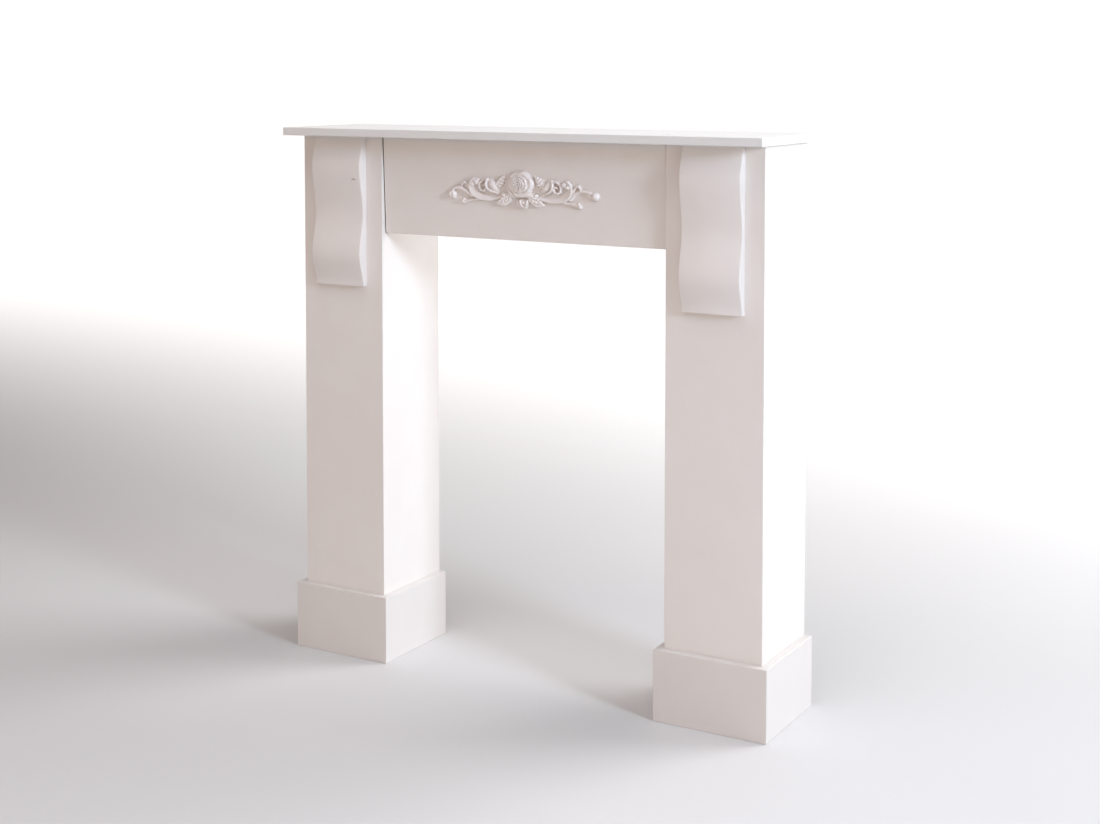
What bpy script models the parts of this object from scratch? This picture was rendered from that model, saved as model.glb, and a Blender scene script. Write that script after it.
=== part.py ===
"""A white painted fireplace mantelpiece, freestanding, built of flat boards.

A shelf lies on two box pilasters that are open at the back. Low plinth boards wrap each pilaster's foot,
an S-curved corbel stands on each pilaster's front under the shelf, and a frieze board closes the top of
the hearth opening and carries a cast rose ornament.

Metres, +Z up. The origin is on the floor under the middle of the shelf. The front faces -Y, the open
back stands against a wall at +Y, and left and right are as seen from the front.
"""

import math

import bmesh
import bpy
import numpy as np

# Driving sizes
HEIGHT = 1.000
OPENING_WIDTH = 0.585
PILASTER_WIDTH = 0.180
PILASTER_DEPTH = 0.188
PILASTER_BOARD = 0.015
PLINTH_HEIGHT = 0.124
PLINTH_BOARD = 0.014
SHELF_THICKNESS = 0.015
SHELF_FRONT_OVERHANG = 0.046
SHELF_END_OVERHANG = 0.0145
FRIEZE_HEIGHT = 0.180
FRIEZE_BOARD = 0.015
CORBEL_WIDTH = 0.110
CORBEL_HEIGHT = 0.280
ORNAMENT_WIDTH = 0.311

# How far the frieze's face lies behind the pilasters' faces: the board leans back towards its foot
FRIEZE_RECESS_TOP = 0.003
FRIEZE_RECESS_FOOT = 0.0105

# How far a corbel stands off its pilaster, from its top down: shoulder, upper swell, waist, lower swell, foot
CORBEL_SHOULDER = 0.0095
CORBEL_UPPER_SWELL = 0.0215
CORBEL_WAIST = 0.011
CORBEL_LOWER_SWELL = 0.022
CORBEL_FOOT = 0.0105

# Clearances: touching pieces, a mitre's two halves, and the frieze's ends
CONTACT_GAP = 0.0003
MITRE_GAP = 0.0003
FRIEZE_END_GAP = 0.0015

# Rounding of the painted edges
BOARD_ARRIS = 0.0012
CORBEL_ARRIS = 0.0025
FRIEZE_CORNER = 0.004
ARC_STEPS = 3

# The ornament sits a little to the right of the frieze's middle
ORNAMENT_OFFSET = 0.0045

SHELF_UNDERSIDE = HEIGHT - SHELF_THICKNESS
SHELF_LENGTH = OPENING_WIDTH + 2 * PILASTER_WIDTH + 2 * SHELF_END_OVERHANG
DEPTH = PILASTER_DEPTH + SHELF_FRONT_OVERHANG
PILASTER_FRONT_Y = SHELF_FRONT_OVERHANG - DEPTH / 2
PILASTER_CENTRE_X = (OPENING_WIDTH + PILASTER_WIDTH) / 2


def paint(name, colour, roughness):
    """A material of one colour, given as red, green and blue from 0 to 1."""
    material = bpy.data.materials.new(name)
    material.use_nodes = True
    shader = material.node_tree.nodes["Principled BSDF"]
    shader.inputs["Base Color"].default_value = (*colour, 1)
    shader.inputs["Roughness"].default_value = roughness
    shader.inputs["Metallic"].default_value = 0
    return material


def add_object(name, shape, material, smooth_below=math.radians(40)):
    """Makes an object of a bmesh, shaded smooth where faces meet at less than the angle given."""
    mesh = bpy.data.meshes.new(name)
    shape.to_mesh(mesh)
    shape.free()
    mesh.shade_smooth()
    mesh.set_sharp_from_angle(angle=smooth_below)
    mesh.materials.append(material)
    piece = bpy.data.objects.new(name, mesh)
    bpy.context.scene.collection.objects.link(piece)
    return piece


def loft(rings):
    """One closed solid through rings that have as many points each, capped at both ends."""
    shape = bmesh.new()
    rows = [[shape.verts.new(point) for point in ring] for ring in rings]
    for low, high in zip(rows, rows[1:]):
        for here in range(len(low)):
            after = (here + 1) % len(low)
            shape.faces.new((low[here], low[after], high[after], high[here]))
    shape.faces.new(rows[0][::-1])
    shape.faces.new(rows[-1])
    bmesh.ops.recalc_face_normals(shape, faces=shape.faces[:])
    return shape


def arc(centre, radius, start, end):
    """Points on a circle's arc, from one angle to the other in degrees."""
    turns = [math.radians(start + (end - start) * step / ARC_STEPS) for step in range(ARC_STEPS + 1)]
    return [(centre[0] + radius * math.cos(turn), centre[1] + radius * math.sin(turn)) for turn in turns]


def arris_steps(radius):
    """A quarter round in steps, as pairs: how far the edge has drawn in, and how far it is along."""
    quarter = [math.pi / 2 * step / ARC_STEPS for step in range(ARC_STEPS + 1)]
    return [(radius * (1 - math.cos(turn)), radius * math.sin(turn)) for turn in quarter]


# Mitred boards: pilasters and plinths


def board_end(half, thickness, arris, joint):
    """The plan of a board's end at +x, from its outer face at y = 0 round to its inner face."""
    if joint == "mitre":
        set_back = MITRE_GAP / 2
        short_of = math.degrees(math.asin(set_back / arris))
        corner = arc((half - arris, arris), arris, -90, -45 - short_of)
        return [*corner, (half - thickness - set_back * math.sqrt(2), thickness)]
    outer_corner = arc((half - arris, arris), arris, -90, 0)
    inner_corner = arc((half - arris, thickness - arris), arris, 0, 90)
    return outer_corner + inner_corner


def board_plan(length, thickness, arris, joints, drawn_in=0.0):
    """The plan of a board, its outer face on y = 0, with its two ends' joints named from -x to +x."""
    half = length / 2 - drawn_in
    depth = thickness - drawn_in
    rounding = max(arris - drawn_in, MITRE_GAP)
    left = [(-x, y) for x, y in board_end(half, depth, rounding, joints[0])]
    right = board_end(half, depth, rounding, joints[1])
    return [(x, y + drawn_in) for x, y in right + left[::-1]]


def upright_board(name, length, thickness, height, joints, round_top, material):
    """A board that stands on the floor, with its top's outer edge rounded where that shows."""
    levels = [(0, 0), (0, height)]
    if round_top:
        levels = [(0, 0)] + [(inset, height - BOARD_ARRIS + rise) for inset, rise in arris_steps(BOARD_ARRIS)]
    rings = []
    for drawn_in, level in levels:
        plan = board_plan(length, thickness, BOARD_ARRIS, joints, drawn_in)
        rings.append([(x, y, level) for x, y in plan])
    return add_object(name, loft(rings), material)


def three_boards(prefix, outer_is, parent, width, depth, thickness, height, round_top, material):
    """A front board and two side boards, mitred together, open at the back and flush there."""
    front_y = PILASTER_DEPTH - depth
    front = upright_board(
        f"{prefix}_front", width, thickness, height, ("mitre", "mitre"), round_top, material
    )
    front.location = (0, front_y, 0)
    front.parent = parent
    for side in (-1, 1):
        joints = ("mitre", "square") if side > 0 else ("square", "mitre")
        place = "outer_side" if side == outer_is else "inner_side"
        board = upright_board(f"{prefix}_{place}", depth, thickness, height, joints, round_top, material)
        board.location = (side * width / 2, front_y + depth / 2, 0)
        board.rotation_euler = (0, 0, side * math.pi / 2)
        board.parent = parent


# Flat slabs: shelf and frieze


def slab_outline(length, width, corners, drawn_in=0.0):
    """A rectangle about the origin, its corners rounded by radii named from -,- round to -,+."""
    half_x = length / 2 - drawn_in
    half_y = width / 2 - drawn_in
    signs = ((-1, -1), (1, -1), (1, 1), (-1, 1))
    points = []
    for index, ((sign_x, sign_y), radius) in enumerate(zip(signs, corners)):
        rounding = max(radius - drawn_in, CONTACT_GAP)
        centre = (sign_x * (half_x - rounding), sign_y * (half_y - rounding))
        points += arc(centre, rounding, 180 + 90 * index, 270 + 90 * index)
    return points


def slab(length, width, thickness, corners):
    """A board lying flat on z = 0, with all its long edges slightly rounded."""
    steps = arris_steps(BOARD_ARRIS)
    lower = [(inset, BOARD_ARRIS - rise) for inset, rise in steps[::-1]]
    upper = [(inset, thickness - BOARD_ARRIS + rise) for inset, rise in steps]
    rings = []
    for drawn_in, level in lower + upper:
        outline = slab_outline(length, width, corners, drawn_in)
        rings.append([(x, y, level) for x, y in outline])
    return loft(rings)


def make_shelf(material):
    shape = slab(SHELF_LENGTH, DEPTH, SHELF_THICKNESS, [BOARD_ARRIS] * 4)
    shelf = add_object("mantel_shelf", shape, material)
    shelf.location = (0, 0, SHELF_UNDERSIDE)


def frieze_recess(height):
    """How far the frieze's face is behind the pilasters' faces at a height above the floor."""
    down = (SHELF_UNDERSIDE - height) / FRIEZE_HEIGHT
    return FRIEZE_RECESS_TOP + (FRIEZE_RECESS_FOOT - FRIEZE_RECESS_TOP) * down


def make_frieze(material):
    """The board between the pilasters: a slab stood on edge, sheared so that it leans back at its foot."""
    length = OPENING_WIDTH - 2 * FRIEZE_END_GAP
    height = FRIEZE_HEIGHT - CONTACT_GAP
    corners = (FRIEZE_CORNER, FRIEZE_CORNER, BOARD_ARRIS, BOARD_ARRIS)
    shape = slab(length, height, FRIEZE_BOARD, corners)
    middle = SHELF_UNDERSIDE - CONTACT_GAP - height / 2
    for vertex in shape.verts:
        along, up, out = vertex.co
        level = middle + up
        back = PILASTER_FRONT_Y + frieze_recess(level) + FRIEZE_BOARD
        vertex.co = (along, back - out, level)
    add_object("frieze_board", shape, material)


# Corbels


def corbel_projection(share):
    """How far the corbel stands off the pilaster, at a share of its height from the top."""
    stations = (
        (0.00, CORBEL_SHOULDER),
        (0.20, CORBEL_UPPER_SWELL),
        (0.51, CORBEL_WAIST),
        (0.79, CORBEL_LOWER_SWELL),
        (1.00, CORBEL_FOOT),
    )
    for (above, start), (below, end) in zip(stations, stations[1:]):
        if share <= below:
            eased = (1 - math.cos(math.pi * (share - above) / (below - above))) / 2
            return start + (end - start) * eased
    return CORBEL_FOOT


def corbel_ring(projection, drawn_in, level):
    """The corbel's plan at one level: square at the back, its two front edges rounded."""
    half = CORBEL_WIDTH / 2 - drawn_in
    front = projection - drawn_in
    rounding = max(CORBEL_ARRIS - drawn_in, CONTACT_GAP)
    left = arc((-half + rounding, rounding - front), rounding, 180, 270)
    right = arc((half - rounding, rounding - front), rounding, 270, 360)
    plan = [(-half, -CONTACT_GAP), *left, *right, (half, -CONTACT_GAP)]
    return [(x, y, level) for x, y in plan]


def make_corbel(name, parent, material):
    """A block with an S-curved front, hung under the shelf on the pilaster's face."""
    rows = 30
    top = SHELF_UNDERSIDE - CONTACT_GAP
    rings = []
    for drawn_in, along in arris_steps(BOARD_ARRIS)[::-1]:
        down = CORBEL_HEIGHT - BOARD_ARRIS + along
        rings.append(corbel_ring(corbel_projection(down / CORBEL_HEIGHT), drawn_in, top - down))
    for row in range(rows + 1):
        down = (CORBEL_HEIGHT - 2 * BOARD_ARRIS) * (1 - row / rows)
        rings.append(corbel_ring(corbel_projection(down / CORBEL_HEIGHT), 0, top - down))
    corbel = add_object(name, loft(rings), material)
    corbel.parent = parent


# The cast rose ornament: a relief whose height is the highest of its overlapping forms. Places and sizes
# are drawn on a sheet 311 units wide, u to the right and v up from the middle, and heights in the same units.
DRAWN_WIDTH = 311
SHEET_MARGIN = 8
SHEET_LOW = -42
SHEET_HIGH = 46
RELIEF_PITCH = 1.6
RELIEF_TRIANGLES = 5200
GROUND = -3.0
NEAR_GROUND = 0.05


def oval(u, v, centre, radii, turn, height, edge=3):
    """A rounded lump, highest in its middle, which falls through the ground at its rim."""
    along, across = turned(u, v, centre, turn)
    out = np.hypot(along / radii[0], across / radii[1])
    return height * (1 - out**edge)


def turned(u, v, centre, turn):
    """The sheet's points as seen from a centre, with the first axis turned by degrees."""
    angle = math.radians(turn)
    du = u - centre[0]
    dv = v - centre[1]
    return du * math.cos(angle) + dv * math.sin(angle), dv * math.cos(angle) - du * math.sin(angle)


def smooth_path(points, steps=10):
    """Points along a smooth curve through the ones given."""
    given = [np.array(point, float) for point in points]
    padded = [2 * given[0] - given[1], *given, 2 * given[-1] - given[-2]]
    path = []
    for before, start, end, after in zip(padded, padded[1:], padded[2:], padded[3:]):
        for step in range(steps):
            t = step / steps
            path.append(
                0.5
                * (
                    2 * start
                    + (end - before) * t
                    + (2 * before - 5 * start + 4 * end - after) * t**2
                    + (3 * start - before - 3 * end + after) * t**3
                )
            )
    return [*path, given[-1]]


def strand(u, v, points, widths, heights, hollow=0.0, edge=3):
    """A ribbon along a smooth curve. Its width and height change evenly from each value to the next, and
    a hollow one falls away to the left of its path, as a scroll's channel does."""
    path = smooth_path(points)
    shares = np.linspace(0, 1, len(path))
    marks = np.linspace(0, 1, len(widths))
    half = np.interp(shares, marks, widths) / 2
    level = np.interp(shares, np.linspace(0, 1, len(heights)), heights)
    field = np.full(u.shape, GROUND)
    nearest = np.full(u.shape, np.inf)
    for here in range(len(path) - 1):
        run = path[here + 1] - path[here]
        du = u - path[here][0]
        dv = v - path[here][1]
        share = np.clip((du * run[0] + dv * run[1]) / run.dot(run), 0, 1)
        distance = np.hypot(du - share * run[0], dv - share * run[1])
        side = np.sign(run[0] * dv - run[1] * du)
        width_here = half[here] + (half[here + 1] - half[here]) * share
        level_here = level[here] + (level[here + 1] - level[here]) * share
        out = distance / width_here
        slope = 1 - hollow * np.clip((0.35 + side * out / 2) / 0.85, 0, 1) ** 0.8
        closer = out < nearest
        nearest = np.where(closer, out, nearest)
        field = np.where(closer, level_here * slope * (1 - out**edge), field)
    return field


def leaf(u, v, base, tip, width, height, veins, depth=0.9):
    """A pointed leaf with a sunk midrib and slanting veins that notch its edge."""
    run = np.array(tip, float) - base
    length = math.hypot(*run)
    along, across = turned(u, v, base, math.degrees(math.atan2(run[1], run[0])))
    share = np.clip(along / length, 0.0, 1.0)
    side = np.abs(across)
    vein = np.cos(2 * math.pi * (veins * share - side / width * 1.2))
    half = width / 2 * (np.sin(math.pi * share**0.8) ** 0.7 + 0.02) * (1 + 0.12 * vein)
    beyond = np.maximum(np.maximum(-along, along - length), 0)
    out = (side + beyond) / half
    body = height * (1 - out**3) + depth * vein * np.clip(side / width * 4, 0, 1)
    return body - depth * np.exp(-((side / 1.3) ** 2))


def rose_petal(u, v, centre, reach, turn, span, height, crest, dip, fall):
    """One petal of a rose, a curved wall about the flower's centre. It is highest at its crest, a share of
    its reach. From there it slopes down towards the heart by the dip and rolls over outwards by the fall."""
    du = u - centre[0]
    dv = v - centre[1]
    angle = np.degrees(np.arctan2(dv, du)) - turn
    across = ((angle + 180) % 360 - 180) / span
    rim = 1 + 0.08 * np.clip(across, -1, 1) - 0.2 * np.clip(np.abs(across), 0, 1.2) ** 3
    out = np.hypot(du / reach[0], dv / reach[1]) / rim
    inwards = np.clip((crest - out) / crest, 0, 1)
    outwards = np.maximum(out - crest, 0) / (1 - crest)
    level = height * (1 + 0.05 * np.clip(across, -1, 1) - dip * inwards - fall * outwards**2)
    return level - 16 * np.maximum(np.abs(across) - 1, 0)


def rose(u, v):
    """The open rose: broad outer petals rolled back, a cup of five, and a bud wound ever tighter."""
    centre = (1.0, 12.0)
    rings = (
        ((27.5, 23.0), 6, 115, 44, 8.6, 0.80, 0.9, 0.62),
        ((17.5, 15.5), 5, 30, 46, 11.4, 0.88, 0.9, 0.35),
        ((12.0, 11.0), 4, 65, 56, 12.8, 0.86, 0.8, 0.3),
        ((7.6, 7.2), 3, 10, 72, 13.8, 0.82, 0.7, 0.3),
        ((4.0, 3.8), 2, 110, 105, 14.4, 0.75, 0.5, 0.3),
    )
    forms = []
    for reach, count, first, span, height, crest, dip, fall in rings:
        for index in range(count):
            turn = first + 360 / count * index
            forms.append(rose_petal(u, v, centre, reach, turn, span, height, crest, dip, fall))
    return np.maximum.reduce(forms)


def spray(u, v, side):
    """What grows out on one side of the rose: leaves, a curled petal, the scroll, its tail and its branch."""
    u = u * side
    forms = [
        leaf(u, v, (50, 2), (31, 27), 17, 5.5, 5),
        leaf(u, v, (13, -7), (48, -24), 18, 7.0, 5),
        strand(u, v, [(19, -17), (33, -25.5), (47, -24)], [5, 7, 5], [6, 6.5, 6]),
        oval(u, v, (33, -8.5), (5, 4.5), 0, 7.5),
        oval(u, v, (55, 6.5), (17, 10.5), 50, 8.5, edge=2),
        strand(
            u, v, [(66, 17), (75, 17), (83, 11), (83, 2), (76, -2.5), (70, 2), (72, 8), (77, 7)],
            [6, 6, 6, 5, 5, 4], [6, 7, 7.5, 8],
        ),
        strand(u, v, [(67, 19), (68.5, 10), (65, 2), (57, -3), (47, -6)], [4, 4.5, 5, 5, 3], [8, 10, 9, 6]),
        strand(
            u, v, [(39, -12.5), (62, -16), (84, -13.5), (96, -6), (100.5, 2), (101.5, 10), (97, 17)],
            [6, 10, 14, 17, 15, 10, 7], [6, 6.5, 7.5, 8, 8.5], hollow=0.72, edge=5,
        ),
        oval(u, v, (90.5, 13), (7, 6.5), 60, 8.5),
        oval(u, v, (98.5, 9), (5.5, 5.5), 0, 9.0),
        strand(u, v, [(88, -19), (104, -20), (120, -24)], [5, 6, 9], [5, 4.5, 5.5], hollow=0.3),
        strand(u, v, [(118, -18.5), (122, -26)], [4, 3.5], [6, 5.5]),
        strand(u, v, [(106, -3), (111, 8), (118, 11), (123, 5)], [5, 6, 6, 4], [4.5, 5.5, 5]),
    ]
    if side < 0:
        forms += [
            strand(u, v, [(101, -13), (115, -4), (128, 1), (138, 0), (143, -6)], [7, 8, 7, 6], [5, 6, 5.5]),
            oval(u, v, (143.5, -11.5), (8.5, 8), 0, 6.0),
            oval(u, v, (139.5, -12), (7.8, 4.3), 80, 7.5),
            oval(u, v, (146.5, -11.5), (7.8, 4.3), 100, 7.5),
        ]
    else:
        forms += [
            strand(u, v, [(101, -13), (112, -2), (126, 3), (138, 1), (146, -2)], [7, 7, 6, 6], [5, 5, 4.5]),
            oval(u, v, (150.5, -5.5), (8.7, 8.3), -20, 7.5),
            strand(u, v, [(138, 1), (141, -7), (149, -11)], [4, 5, 4], [4, 5.5, 5]),
        ]
    return np.maximum.reduce(forms)


def hanging_bud(u, v):
    """The bud under the rose, pointing down: two folded petals that meet in a V over a rounded heart."""
    forms = [
        oval(u, v, (6.5, -23), (12.5, 10.5), 0, 6.5),
        oval(u, v, (8.5, -21.5), (6, 6), 0, 8.0),
        strand(u, v, [(1.5, -17), (3.5, -24), (9, -30)], [6, 6, 4], [8, 9.5, 8]),
        strand(u, v, [(16, -17), (14.5, -24), (9, -30)], [6, 6.5, 4], [8, 9.5, 8]),
        strand(u, v, [(-3, -18), (-3, -24), (2, -29)], [5, 6, 4], [7, 8, 6.5]),
    ]
    return np.maximum.reduce(forms)


def relief(u, v):
    """The ornament's height over its sheet: above nothing on it, below nothing around it."""
    roll = strand(u, v, [(-7, -8), (8, -8), (21, -7.5), (30, -12)], [10, 11, 10, 6], [10, 11, 10, 7])
    fold = strand(u, v, [(-24, 3), (-18, -5), (-11, -12)], [8, 9, 7], [8, 9, 8.5], hollow=0.3)
    forms = [rose(u, v), roll, fold, hanging_bud(u, v), spray(u, v, -1), spray(u, v, 1)]
    return np.maximum(np.maximum.reduce(forms), GROUND)


def largest_island(shape):
    """Deletes all but the biggest connected part of a bmesh."""
    left = set(shape.verts)
    islands = []
    while left:
        front = [left.pop()]
        island = set(front)
        while front:
            near = {edge.other_vert(vertex) for vertex in front for edge in vertex.link_edges}
            front = list(near & left)
            left -= near
            island |= near
        islands.append(island)
    keep = max(islands, key=len)
    bmesh.ops.delete(shape, geom=[vertex for vertex in shape.verts if vertex not in keep], context="VERTS")


def relief_shape(pitch):
    """The relief as a closed solid on the drawing sheet: cut off at the ground, with a flat back."""
    reach = DRAWN_WIDTH / 2 + SHEET_MARGIN
    across = np.arange(-reach, reach, pitch)
    up = np.arange(SHEET_LOW, SHEET_HIGH, pitch)
    u, v = np.meshgrid(across, up)
    height = relief(u, v)
    height = np.where(np.abs(height) < NEAR_GROUND, NEAR_GROUND, height)
    shape = bmesh.new()
    points = [
        [shape.verts.new(point) for point in zip(row_u, row_v, row_height)]
        for row_u, row_v, row_height in zip(u, v, height)
    ]
    for low, high in zip(points, points[1:]):
        for here in range(len(low) - 1):
            corners = (low[here], low[here + 1], high[here + 1], high[here])
            if max(corner.co.z for corner in corners) > 0:
                shape.faces.new(corners[:3])
                shape.faces.new((corners[0], *corners[2:]))
    bmesh.ops.bisect_plane(
        shape,
        geom=shape.verts[:] + shape.edges[:] + shape.faces[:],
        plane_co=(0, 0, 0),
        plane_no=(0, 0, 1),
        clear_inner=True,
    )
    largest_island(shape)
    twins = {}
    for vertex in shape.verts[:]:
        twins[vertex] = vertex if vertex.is_boundary else shape.verts.new((*vertex.co.xy, 0))
    for face in shape.faces[:]:
        shape.faces.new([twins[vertex] for vertex in reversed(face.verts)])
    return shape


def make_ornament(material):
    """The casting, laid on the leaning face of the frieze at half its height."""
    ornament = add_object("rose_applique", relief_shape(RELIEF_PITCH), material, math.radians(60))
    scale = ORNAMENT_WIDTH / DRAWN_WIDTH
    for vertex in ornament.data.vertices:
        vertex.co *= scale
    lean = math.atan2(FRIEZE_RECESS_FOOT - FRIEZE_RECESS_TOP, FRIEZE_HEIGHT)
    level = SHELF_UNDERSIDE - FRIEZE_HEIGHT / 2
    face = PILASTER_FRONT_Y + frieze_recess(level)
    ornament.location = (ORNAMENT_OFFSET, face - CONTACT_GAP, level)
    ornament.rotation_euler = (math.pi / 2 + lean, 0, 0)
    reduce = ornament.modifiers.new("fewer_triangles", "DECIMATE")
    ornament.data.calc_loop_triangles()
    reduce.ratio = min(1.0, RELIEF_TRIANGLES / len(ornament.data.loop_triangles))


def main():
    for old in list(bpy.data.objects):
        bpy.data.objects.remove(old)
    board_paint = paint("white_board_paint", (0.83, 0.80, 0.79), 0.45)
    corbel_paint = paint("white_corbel_paint", (0.83, 0.80, 0.78), 0.45)
    casting_paint = paint("white_casting_paint", (0.84, 0.81, 0.80), 0.4)
    make_shelf(board_paint)
    make_frieze(board_paint)
    make_ornament(casting_paint)
    for hand, side in (("left", -1), ("right", 1)):
        leg = bpy.data.objects.new(f"{hand}_leg", None)
        bpy.context.scene.collection.objects.link(leg)
        leg.location = (side * PILASTER_CENTRE_X, PILASTER_FRONT_Y, 0)
        three_boards(
            f"{hand}_pilaster", side, leg, PILASTER_WIDTH, PILASTER_DEPTH, PILASTER_BOARD,
            SHELF_UNDERSIDE - CONTACT_GAP, False, board_paint,
        )
        wrap = PLINTH_BOARD + CONTACT_GAP
        three_boards(
            f"{hand}_plinth", side, leg, PILASTER_WIDTH + 2 * wrap, PILASTER_DEPTH + wrap, PLINTH_BOARD,
            PLINTH_HEIGHT, True, board_paint,
        )
        make_corbel(f"{hand}_corbel", leg, corbel_paint)


main()
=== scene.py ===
# %% [markdown]
# # A white painted mantelpiece
#
# The real object is a small fire surround of flat boards: a shelf on two box pilasters with plinths, an
# S-curved corbel on each pilaster, and a frieze board that carries a cast rose ornament. Everything has
# one coat of satin white paint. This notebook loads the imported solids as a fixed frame, in metres, and
# then makes what the solids leave plain: the paint, the rounded corbels and the carved ornament.

import math

import bmesh
import bpy
import numpy as np
from mathutils import Matrix, Vector
from mathutils.bvhtree import BVHTree


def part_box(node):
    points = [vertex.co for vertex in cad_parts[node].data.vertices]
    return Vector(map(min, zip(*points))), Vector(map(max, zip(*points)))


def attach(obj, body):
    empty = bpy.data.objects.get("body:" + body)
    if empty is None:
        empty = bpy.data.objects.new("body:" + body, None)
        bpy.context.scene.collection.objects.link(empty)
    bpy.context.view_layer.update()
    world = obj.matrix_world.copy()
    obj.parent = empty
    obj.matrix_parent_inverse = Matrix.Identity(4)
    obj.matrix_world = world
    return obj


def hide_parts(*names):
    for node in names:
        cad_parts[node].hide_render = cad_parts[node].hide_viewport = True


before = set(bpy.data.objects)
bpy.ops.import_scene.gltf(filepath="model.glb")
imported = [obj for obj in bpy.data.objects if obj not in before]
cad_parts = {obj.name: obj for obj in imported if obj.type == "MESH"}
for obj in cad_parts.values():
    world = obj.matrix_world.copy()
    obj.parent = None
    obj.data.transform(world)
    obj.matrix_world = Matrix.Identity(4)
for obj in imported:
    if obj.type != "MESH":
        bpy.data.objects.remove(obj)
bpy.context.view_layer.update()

# %% [markdown]
# ## Where the photograph was taken from
#
# The camera stands to the right of the opening, a little above the shelf. Its axis looks slightly down,
# and the frame was shifted downwards, so upright edges stay nearly upright. The distance from the lens
# to the picture, in pixels, gives the focal length for any sensor width.

# %% Camera
PHOTO_WIDTH = 1100
PHOTO_HEIGHT = 824
FOCAL_PIXELS = 1717.6
AXIS_ROW = 160.1
SENSOR_WIDTH = 36
CAMERA_PLACE = (1.5696, -2.6579, 1.1141)
CAMERA_TURN = 0.526
CAMERA_DIP = 0.0545

camera_data = bpy.data.cameras.new("photo_camera")
camera_data.sensor_width = SENSOR_WIDTH
camera_data.lens = FOCAL_PIXELS * SENSOR_WIDTH / PHOTO_WIDTH
camera_data.shift_y = (AXIS_ROW - PHOTO_HEIGHT / 2) / PHOTO_WIDTH
camera = bpy.data.objects.new("photo_camera", camera_data)
camera.location = CAMERA_PLACE
camera.rotation_euler = (math.pi / 2 - CAMERA_DIP, 0, CAMERA_TURN)
bpy.context.scene.collection.objects.link(camera)
bpy.context.scene.camera = camera
print("lens in millimetres:", round(camera_data.lens, 2), "shift:", round(camera_data.shift_y, 3))

# %% [markdown]
# ## Sums on sockets
#
# Materials and Geometry Nodes both work with sockets. A small class wraps one, so that a line such as
# `1 - mask` adds the Math node that it needs. Every other node comes from one method of a tree's own
# class, which sets the node's settings first, because they decide which sockets it has.

# %% Sockets and trees
class Wire:
    """An output socket. Arithmetic on it adds Math nodes to its tree."""

    def __init__(self, builder, socket):
        self.builder = builder
        self.socket = socket

    def sum_of(self, operation, *values):
        return self.builder.node("ShaderNodeMath", {"operation": operation}, dict(enumerate(values)))

    def __add__(self, other):
        return self.sum_of("ADD", self, other)

    def __sub__(self, other):
        return self.sum_of("SUBTRACT", self, other)

    def __rsub__(self, other):
        return self.sum_of("SUBTRACT", other, self)

    def __mul__(self, other):
        return self.sum_of("MULTIPLY", self, other)

    def __truediv__(self, other):
        return self.sum_of("DIVIDE", self, other)

    def __gt__(self, other):
        return self.sum_of("GREATER_THAN", self, other)

    def __lt__(self, other):
        return self.sum_of("LESS_THAN", self, other)

    __radd__ = __add__
    __rmul__ = __mul__

    def distance_to(self, value):
        return self.sum_of("ABSOLUTE", self - value)

    def cosine(self):
        return self.sum_of("COSINE", self)

    def held(self):
        """The value, kept between 0 and 1."""
        return self.builder.node("ShaderNodeClamp", {}, {"Value": self})

    def between(self, low, high):
        """0 below low, 1 above high and a smooth rise between them."""
        settings = {"interpolation_type": "SMOOTHSTEP"}
        return self.builder.node("ShaderNodeMapRange", settings, {"Value": self, 1: low, 2: high})


class Builder:
    """Adds nodes to a tree. Sockets are named by identifier, name or place in the list."""

    def __init__(self, tree):
        self.tree = tree

    @staticmethod
    def socket(sockets, key):
        if isinstance(key, int):
            return sockets[key]
        by_identifier = [socket for socket in sockets if socket.identifier == key]
        return by_identifier[0] if by_identifier else sockets[key]

    def set_input(self, node, key, value):
        socket = self.socket(node.inputs, key)
        if isinstance(value, Wire):
            self.tree.links.new(value.socket, socket)
        else:
            socket.default_value = value

    def node(self, kind, settings, inputs, output=0):
        node = self.tree.nodes.new(kind)
        for setting, value in settings.items():
            setattr(node, setting, value)
        for key, value in inputs.items():
            self.set_input(node, key, value)
        return Wire(self, self.socket(node.outputs, output))


print("helpers ready")
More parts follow.
